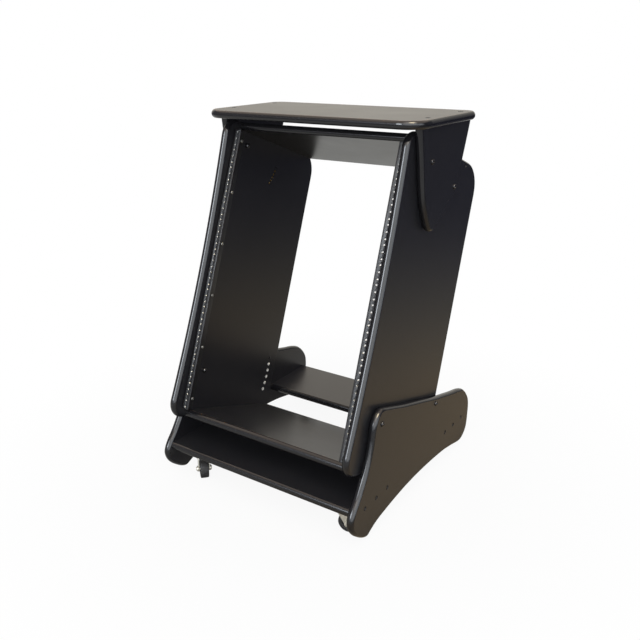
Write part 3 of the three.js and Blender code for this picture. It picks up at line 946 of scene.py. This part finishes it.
class RACK_OT_inserts(bpy.types.Operator):
    """Set the threaded inserts in the two arcs of holes"""

    bl_idname = "rack.inserts"
    bl_label = "Threaded inserts"

    def execute(self, context):
        sizes = context.scene.rack_sizes
        inner_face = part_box("side_right")[0].x
        bore, wall, deep, lip = 2.3, 4.2, 12, 0.5
        collar, below = sizes.insert_radius / MM, sizes.insert_depth / MM
        flanged = [
            (bore, -deep), (wall, -deep), (wall, 0), (collar, 0), (collar, lip / 2), (collar - 0.4, lip),
            (bore + 0.5, lip), (bore, 0.1)]
        sunk = [
            (bore, -deep), (wall, -deep), (wall, -below - 0.3), (wall - 0.3, -below), (bore + 0.5, -below),
            (bore, -below - 0.4)]
        for word, pivot, pitch, finish_name, profile in (
            ("tilt", TILT_PIVOT, -3.7, "silver", flanged), ("shelf", SHELF_PIVOT, -3.85, "brass", sunk),
        ):
            pattern = smooth(turned("insert", profile, 32))
            for name, sign in SIDES:
                start = centre(f"{word}_lock_bolt_{name}") - pivot
                copies = []
                for i in range(6):
                    place = pivot + Matrix.Rotation(math.radians(i * pitch), 4, "X") @ start
                    place = along_x(-sign, -inner_face, place.y, place.z)
                    copies.append(duplicate(pattern, "insert_copy", place))
                taken = copies.pop(0)
                taken.name = taken.data.name = f"{word}_lock_insert_{name}"
                dress(taken, "rack", "bolt", "oxide")
                dress(joined(f"{word}_inserts_{name}", copies), "rack", "zinc", finish_name)
            discard(pattern)
        return {"FINISHED"}


class RACK_OT_screws(bpy.types.Operator):
    """Drive the screws of the boards, the panels and the rails"""

    bl_idname = "rack.screws"
    bl_label = "Screws"

    def execute(self, context):
        sizes = context.scene.rack_sizes
        places = screw_places()
        for name, body, boards in (
            ("shelf_screws", "shelf", ("shelf_board",)),
            ("foot_screws", "base", ("foot_left", "foot_right")),
            ("side_screws", "rack", ("side_left", "side_right")),
        ):
            pattern = self.head(sizes.screw_radius / MM, sizes.screw_depth / MM)
            self.drive(name, pattern, [place for board in boards for place in places[board]], body, "oxide")
        self.rail_screws()
        return {"FINISHED"}

    def head(self, radius, below):
        """A countersunk head with a cross recess, its top below z = 0."""
        head = turned("screw", [
            (0, -3.4), (2, -3.4), (radius - 0.1, -0.5), (radius, -0.3), (radius - 0.2, -0.15),
            (radius * 0.6, -0.04), (0, 0)], 28)
        lowered = set_down(self.recess(head, radius), Matrix.Translation((0, 0, -below * MM)))
        return smooth(lowered, 30)

    def recess(self, head, radius):
        """A cross cut into the top of a head."""
        for turn in (0, QUARTER):
            cut(head, block("slot", (radius * 1.1, radius * 0.24, 2), rotation=(0, 0, turn)))
        return head

    def drive(self, name, pattern, places, body, finish_name):
        """One piece of all the screws at some places, each turned a little further."""
        copies = []
        for i, place in enumerate(places):
            copies.append(duplicate(pattern, "screw_copy", place @ Matrix.Rotation(0.7 * i, 4, "Z")))
        dress(joined(name, copies), body, "bolt", finish_name)
        discard(pattern)

    def rail_screws(self):
        """Six round-headed screws through each rail's flange into the rack side."""
        radius, rise = 4.2, 2.4
        first, step, inset = 22.2 * MM, 133.35 * MM, 31.5 * MM
        head = turned("rail_screw", [(0, -4), (2, -4), (2, 0), (radius, 0), *dome_outline(radius, rise)], 24)
        lowered = set_down(head, Matrix.Translation((0, 0, -rise * MM)))
        pattern = smooth(set_down(self.recess(lowered, radius), Matrix.Translation((0, 0, rise * MM))), 30)
        places = []
        for name, sign in SIDES:
            low, high = extent(f"rail_{name}")
            face = max(abs(low.x), abs(high.x)) - RAIL_THICK
            for k in range(6):
                place = RACK @ Vector((0, low.y + inset, high.z - first - step * k))
                places.append(along_x(-sign, -face, place.y, place.z))
        self.drive("rail_screws", pattern, places, "rack", "thread")


# Castors


def castor_frame(corner):
    """A castor's place at the top of its plate, the same turned along its trail, and its axle from there."""
    swivel, axle = (Vector(joint(f"{corner}_{word}")["pos_m"]) for word in ("swivel", "roll"))
    top = Vector((swivel.x, swivel.y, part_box(f"castor_{corner}_plate")[1].z))
    trail = math.atan2(axle.y - swivel.y, axle.x - swivel.x)
    place = Matrix.Translation(top)
    return place, place @ Matrix.Rotation(trail, 4, "Z"), axle - top


def mirrored(profile):
    """The other half of an outline that is the same above and below."""
    return [(radius, -height) for radius, height in reversed(profile)]


class RACK_OT_castors(bpy.types.Operator):
    """Fit the four swivel castors"""

    bl_idname = "rack.castors"
    bl_label = "Castors"

    def execute(self, context):
        reach = castor_frame(CORNERS[0])[2]
        trail, drop = reach.xy.length, reach.z
        patterns = {
            "plate": self.plate(), "fork": self.fork(trail / MM, drop / MM), "hub": self.hub(),
            "tyre": self.tyre(), "axle": self.axle(),
        }
        for corner in CORNERS:
            fixed, turning, _ = castor_frame(corner)
            wheel = turning @ Matrix.Translation((trail, 0, drop)) @ Matrix.Rotation(QUARTER, 4, "X")
            for word, body, slot, finish_name, place in (
                ("plate", "base", "zinc", "zinc", fixed),
                ("fork", f"castor_{corner}", "zinc", "zinc", turning),
                ("hub", f"wheel_{corner}", "hub", "hub", wheel),
                ("tyre", f"wheel_{corner}", "tyre", "rubber", wheel),
                ("axle", f"wheel_{corner}", "zinc", "zinc", wheel),
            ):
                piece = duplicate(patterns[word], f"{corner}_castor_{word}", place)
                dress(piece, body, slot, finish_name, f"castor_{corner}_{word}")
        for pattern in patterns.values():
            discard(pattern)
        return {"FINISHED"}

    def plate(self):
        """The fixed plate with its rounded corners, four screws, pressed race and kingpin."""
        thick = 2.5
        base = block("castor_plate_flat", (60, 50, thick), location=(0, 0, -thick / 2))
        self.round_corners(base, 6 * MM)
        soften(base, 0.4)
        race = turned("castor_race", [
            (0, -thick), (21, -thick), (20.5, -thick - 1.4), (18.5, -thick - 3.2), (16.5, -thick - 4.2),
            (9, -thick - 4.5), (0, -thick - 4.5)], 40)
        pin = turned("castor_pin", [
            (0, -6.8), (4, -6.8), (4, -10.1), (7, -10.1), (7, -11.6), (6, -12.4), (0, -12.6)], 32)
        heads = []
        for x in (-22 * MM, 22 * MM):
            for y in (-17.5 * MM, 17.5 * MM):
                screw = turned("castor_screw", [
                    (0, -thick), (4.2, -thick), (4.2, -thick - 0.6), (3, -thick - 2), (0, -thick - 2.4)], 20)
                heads.append(set_down(screw, Matrix.Translation((x, y, 0))))
        return smooth(joined("castor_plate_pattern", [base, race, pin] + heads))

    def round_corners(self, obj, radius):
        """Round the upright edges of a flat plate."""
        take(obj)
        bpy.ops.object.mode_set(mode="EDIT")
        bpy.ops.mesh.select_mode(type="EDGE")
        bpy.ops.mesh.select_all(action="DESELECT")
        bpy.ops.object.mode_set(mode="OBJECT")
        for edge in obj.data.edges:
            a, b = (obj.data.vertices[i].co for i in edge.vertices)
            edge.select = abs(a.z - b.z) > SAME_PLACE
        bpy.ops.object.mode_set(mode="EDIT")
        bpy.ops.mesh.bevel(offset=radius, segments=6, affect="EDGES")
        bpy.ops.object.mode_set(mode="OBJECT")

    def fork(self, trail, drop):
        """A pressed fork: a dished crown and two legs that narrow to the axle."""
        top, thick, gap, leg_end = -7.3, 2.5, 12, 7.5
        under = top - thick
        crown = turned("castor_crown", [
            (4.3, top), (4.3, under), (15, under), (17, under - 0.6), (18, under + 0.2), (18, top - 0.8),
            (17, top), (15.5, top)], 40)
        outline = [
            (-14, top), (-13.5, top - 7), (-10, top - 15),
            *arc((trail, drop), (leg_end, leg_end), 195, 365, 12), (16.5, top - 12), (13, top)]
        legs = []
        for side in (-MM, MM):
            rings = [[(x * MM, side * y, z * MM) for x, z in outline] for y in (gap, gap + thick)]
            legs.append(soften(loft("castor_leg", rings), 0.5, 2, 50))
        return smooth(joined("castor_fork_pattern", [crown] + legs))

    def hub(self):
        """A moulded hub with a dished face and five webs."""
        half = 10.5
        lower = [
            (4.3, -half), (8, -half), (8, 4.5 - half), (9, 5.5 - half), (14, 5.5 - half), (14.8, 4.5 - half),
            (15, 0.6 - half), (15.6, -half), (17, -half)]
        disc = turned("castor_hub_disc", lower + mirrored(lower), 48)
        webs = []
        for k in range(5):
            web = soften(block("castor_web", (7.6, 1.8, 2 * half - 2.4)), 0.3, 1)
            turn = Matrix.Rotation(2 * math.pi * k / 5, 4, "Z")
            webs.append(set_down(web, turn @ Matrix.Translation((11.4 * MM, 0, 0))))
        return smooth(joined("castor_hub_pattern", [disc] + webs))

    def tyre(self):
        """A tyre with round shoulders and a crowned tread."""
        half, shoulder = 10.5, 3
        lower = [(17.2, -half), *arc((21.7, shoulder - half), (2.7, shoulder), -90, 0, 6)]
        return smooth(turned("castor_tyre_pattern", lower + [(24.66, 0)] + mirrored(lower), 64), 40)

    def axle(self):
        """An axle bolt with a stepped round head at each end."""
        inner = 14.8
        upper = [(4, inner + 1), (0, inner + 1)]
        head = [
            (0, inner), (7, inner), (7, inner + 2.2), (6.4, inner + 3.0), (4.6, inner + 3.2),
            (4.4, inner + 4.6), (3.4, inner + 5), (0, inner + 5)]
        pieces = [turned("castor_shank", mirrored(upper) + upper, 28)]
        for side in (-1, 1):
            profile = [(radius, side * height) for radius, height in head]
            pieces.append(turned("castor_axle_head", profile, 32))
        return smooth(joined("castor_axle_pattern", pieces))


# Stage, lights and camera


WHITE = (1, 1, 1, 1)


def glow(tree, colour):
    """An Emission shader of strength 1."""
    return node(tree, "ShaderNodeEmission", {"Color": colour, "Strength": 1.0}).outputs[0]


def either(tree, factor, first, second):
    """A mix of two shaders."""
    return node(tree, "ShaderNodeMixShader", {0: factor, 1: first, 2: second}).outputs[0]


class RACK_OT_stage(bpy.types.Operator):
    """Lay the pale floor and set the lights and the camera"""

    bl_idname = "rack.stage"
    bl_label = "Stage"

    def execute(self, context):
        self.floor()
        self.world(context.scene)
        self.lamps()
        self.camera(context.scene)
        context.scene.view_settings.view_transform = "Standard"
        return {"FINISHED"}

    def floor(self):
        """A wide pale floor that keeps a faint shadow and is seen as white."""
        clear_selection()
        bpy.ops.mesh.primitive_plane_add(size=60, location=(0, 0, 0))
        floor = fresh("floor")
        material = bpy.data.materials.new("Pale floor")
        material.use_nodes = True
        tree = material.node_tree
        tree.nodes.clear()
        spot = node(tree, "ShaderNodeTexCoord").outputs["Object"]
        away = vectors(tree, "LENGTH", {0: spot}).outputs["Value"]
        rays = node(tree, "ShaderNodeLightPath").outputs
        diffuse = node(tree, "ShaderNodeBsdfDiffuse", {"Color": (0.85, 0.83, 0.80, 1)}).outputs[0]
        whiter = spread(tree, away, 0.45, 1.0, 0.92, 1.0)
        seen = either(tree, whiter, diffuse, glow(tree, WHITE))
        surface = either(tree, rays["Is Camera Ray"], diffuse, seen)
        # Glossy rays see the floor as a painted glow, not as its lit colour.
        surface = either(tree, rays["Is Glossy Ray"], surface, glow(tree, self.light_pool(tree, spot, away)))
        node(tree, "ShaderNodeOutputMaterial", {"Surface": surface})
        floor.data.materials.append(material)

    def light_pool(self, tree, spot, away):
        """The floor's painted glow that only glossy rays see: a painted shadow under the rack, warm painted
        light behind on the right and pale painted light elsewhere.
        """
        reach = 6.0
        part = maths(tree, "DIVIDE", away, reach)
        warm, pale = (ramp(tree, part, [(metres / reach, colour) for metres, colour in stops]) for stops in (
            ((0.0, (0.50, 0.385, 0.24)), (0.7, (0.49, 0.38, 0.24)), (1.0, (0.43, 0.355, 0.25)),
             (1.5, (0.27, 0.25, 0.21)), (2.3, (0.12, 0.115, 0.13)), (3.0, (0.05, 0.05, 0.08)),
             (6.0, (0.03, 0.03, 0.05))),
            ((0.0, (0.48, 0.47, 0.44)), (0.6, (0.54, 0.53, 0.50)), (1.7, (0.74, 0.74, 0.71)),
             (3.0, (0.55, 0.55, 0.55)), (6.0, (0.20, 0.20, 0.22)))))
        split = node(tree, "ShaderNodeSeparateXYZ", {0: spot}).outputs
        right = spread(tree, split["X"], -0.1, 0.3)
        ahead = spread(tree, split["Y"], -0.75, -0.35)
        lit = blended(tree, times(tree, right, ahead), pale, warm)
        wide = spread(tree, maths(tree, "ABSOLUTE", split["X"]), 0.20, 0.33)
        deep = spread(tree, maths(tree, "ABSOLUTE", split["Y"]), 0.25, 0.42)
        # The dark colour is the painted shadow under the rack's footprint.
        return blended(tree, maths(tree, "MAXIMUM", wide, deep), (0.12, 0.11, 0.10, 1), lit)

    def world(self, scene):
        """White for the camera, a plain grey light for the surfaces and a soft room in their gloss."""
        world = bpy.data.worlds.new("Plain room")
        scene.world = world
        world.use_nodes = True
        tree = world.node_tree
        tree.nodes.clear()
        rays = node(tree, "ShaderNodeLightPath").outputs
        room, plain, white = (
            node(tree, "ShaderNodeBackground", {"Color": colour, "Strength": strength}).outputs[0]
            for colour, strength in ((self.room(tree), 1.0), ((0.90, 0.95, 1.0, 1), 0.55), (WHITE, 1.0)))
        surface = either(tree, rays["Is Glossy Ray"], plain, room)
        surface = either(tree, rays["Is Camera Ray"], surface, white)
        node(tree, "ShaderNodeOutputWorld", {"Surface": surface})

    def room(self, tree):
        """A pale wall behind on the left, windows in front, a soft ceiling and one small warm lamp."""
        direction = node(tree, "ShaderNodeTexCoord").outputs["Generated"]
        split = node(tree, "ShaderNodeSeparateXYZ", {0: direction}).outputs
        total = ramp(tree, self.towards(tree, direction, (-0.47, 0.84, 0.27)), (
            (0.55, (0.12, 0.12, 0.15)), (0.90, (0.80, 0.76, 0.68)), (1.0, (0.97, 0.92, 0.82))))
        turn = maths(tree, "ARCTAN2", split["X"], times(tree, split["Y"], -1.0))
        edge = 103.0
        around = spread(tree, turn, -math.radians(edge), math.radians(edge))
        windows = ramp(tree, around, [((degrees + edge) / (2 * edge), colour) for degrees, colour in (
            (-103, (0.0, 0.0, 0.0)), (-60, (0.08, 0.07, 0.065)), (-38, (0.13, 0.12, 0.11)),
            (-26, (0.30, 0.31, 0.34)), (-5, (0.47, 0.50, 0.53)), (30, (0.38, 0.41, 0.43)),
            (60, (0.64, 0.69, 0.73)), (85, (0.88, 0.94, 1.0)), (103, (0.0, 0.0, 0.0)))])
        low = spread(tree, split["Z"], 0.62, 0.42)
        above = spread(tree, split["Z"], 0.16, 0.26)
        rising = spread(tree, turn, math.radians(-29), math.radians(-24))
        falling = spread(tree, turn, math.radians(-5), math.radians(-10))
        bright_strip = times(tree, rising, falling, above, low)
        lamp = self.towards(tree, direction, (0.38, -0.31, 0.86))
        for colour, strength in (
            (windows, times(tree, low, 3.0)),
            ((0.88, 0.94, 1.0), times(tree, bright_strip, 14.0)),
            ((1.0, 0.82, 0.66), spread(tree, split["Z"], 0.48, 0.72, 0.0, 1.5)),
            ((1.0, 0.84, 0.55), spread(tree, lamp, 0.975, 0.99, 0.0, 18.0)),
        ):
            light = vectors(tree, "SCALE", {0: colour, "Scale": strength}).outputs[0]
            total = vectors(tree, "ADD", {0: total, 1: light}).outputs[0]
        return total

    def towards(self, tree, direction, aim):
        """The cosine between the looked-at direction and an aim."""
        return vectors(tree, "DOT_PRODUCT", {0: direction, 1: Vector(aim).normalized()}).outputs["Value"]

    def lamps(self):
        """One broad soft light from above the front, and one without shadows for the hollows."""
        for name, energy, spread_angle, gloss, turn in (
            ("overhead", 0.8, 50, 0.4, (32, 12, 20)), ("fill", 1.35, 60, 0.0, (60, 0, 32)),
        ):
            clear_selection()
            bpy.ops.object.light_add(type="SUN", location=(0, -2, 3))
            sun = bpy.context.object
            sun.name = name
            sun.data.energy = energy
            sun.data.angle = math.radians(spread_angle)
            sun.data.specular_factor = gloss
            sun.data.use_shadow = name != "fill"
            sun.rotation_euler = [math.radians(angle) for angle in turn]

    def camera(self, scene):
        """The photograph's viewpoint."""
        clear_selection()
        bpy.ops.object.camera_add(location=(1.01326, -1.52227, 1.07065))
        camera = bpy.context.object
        camera.name = "photo_view"
        right = Vector((0.825616, 0.564179, -0.007803))
        up = Vector((-0.153993, 0.238615, 0.958827))
        back = Vector((0.542812, -0.790421, 0.283884))
        camera.rotation_euler = Matrix((right, up, back)).transposed().to_euler()
        for setting, value in (
            ("sensor_width", 36), ("lens", 43.027), ("shift_x", 0.0119), ("shift_y", -0.0832),
            ("clip_start", 0.01), ("clip_end", 200),
        ):
            setattr(camera.data, setting, value)
        scene.camera = camera


class RACK_PT_pieces(bpy.types.Panel):
    """The rack's pieces and finishes"""

    bl_idname = "RACK_PT_pieces"
    bl_label = "Rolling equipment rack"
    bl_space_type = "VIEW_3D"
    bl_region_type = "UI"
    bl_category = "Rack"

    def draw(self, context):
        layout = self.layout
        for holder in (context.scene.rack_sizes, context.scene.rack_finishes):
            for name in holder.__annotations__:
                layout.prop(holder, name)
        for operator in OPERATORS:
            layout.operator(operator.bl_idname)


OPERATORS = (
    RACK_OT_stage, RACK_OT_boards, RACK_OT_edging, RACK_OT_nosings, RACK_OT_seams_and_sheen, RACK_OT_rails,
    RACK_OT_bolts, RACK_OT_inserts, RACK_OT_screws, RACK_OT_castors,
)
CLASSES = (RackSizes, RackFinishes, RACK_PT_pieces) + OPERATORS


def register():
    for item in CLASSES:
        bpy.utils.register_class(item)
    bpy.types.Scene.rack_sizes = PointerProperty(type=RackSizes)
    bpy.types.Scene.rack_finishes = PointerProperty(type=RackFinishes)


def unregister():
    del bpy.types.Scene.rack_sizes
    del bpy.types.Scene.rack_finishes
    for item in reversed(CLASSES):
        bpy.utils.unregister_class(item)


def main():
    """Build everything in order."""
    register()
    bpy.ops.rack.stage()
    bpy.ops.rack.boards()
    bpy.ops.rack.edging()
    bpy.ops.rack.nosings()
    bpy.ops.rack.seams()
    bpy.ops.rack.rails()
    bpy.ops.rack.bolts()
    bpy.ops.rack.inserts()
    bpy.ops.rack.screws()
    bpy.ops.rack.castors()


if __name__ == "__main__":
    main()
